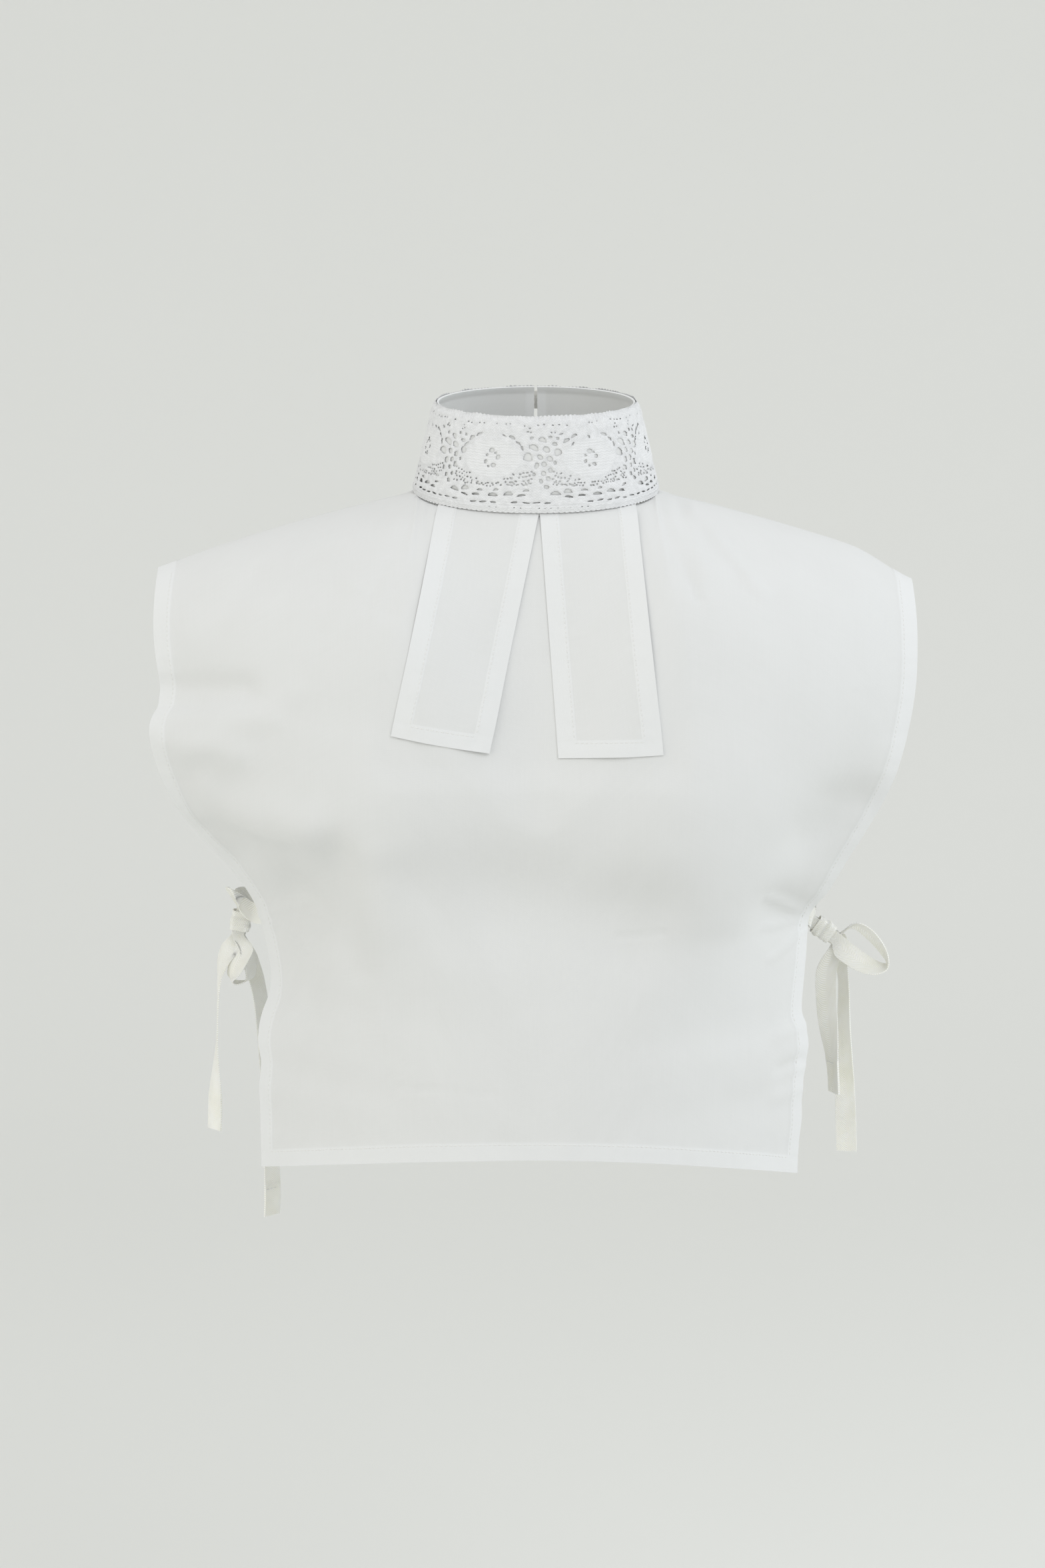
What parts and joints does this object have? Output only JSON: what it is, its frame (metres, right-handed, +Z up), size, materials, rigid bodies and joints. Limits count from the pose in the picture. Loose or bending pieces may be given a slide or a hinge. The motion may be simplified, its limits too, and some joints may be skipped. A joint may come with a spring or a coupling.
{
  "type": "collarette",
  "caption": "Sleeveless white cotton collarette with a lace stand collar, hanging hemmed bands and twill tape bows at the sides.",
  "frame": {"origin": "middle of the neck at the height of the collar's base", "axes": "+Z up, the front faces -Y, +X to the right of a viewer who faces the front"},
  "size_m": [0.4515, 0.2335, 0.5073],
  "materials": {
    "cotton_cloth": "matt plain-weave white cotton",
    "cotton_lace": "matt white cotton bobbin lace",
    "twill_tape": "matt off-white cotton herringbone tape",
    "button": "smooth white"
  },
  "bodies": {
    "root": {"front_panel": "cotton_cloth", "back_panel": "cotton_cloth", "collar_stand": "cotton_cloth", "collar_lace": "cotton_lace", "left_band": "cotton_cloth", "right_band": "cotton_cloth", "left_front_tie": "twill_tape", "left_back_tie": "twill_tape", "left_bow_knot": "twill_tape", "right_front_tie": "twill_tape", "right_back_tie": "twill_tape", "right_bow_knot": "twill_tape", "collar_button": "button"}
  },
  "joints": []
}
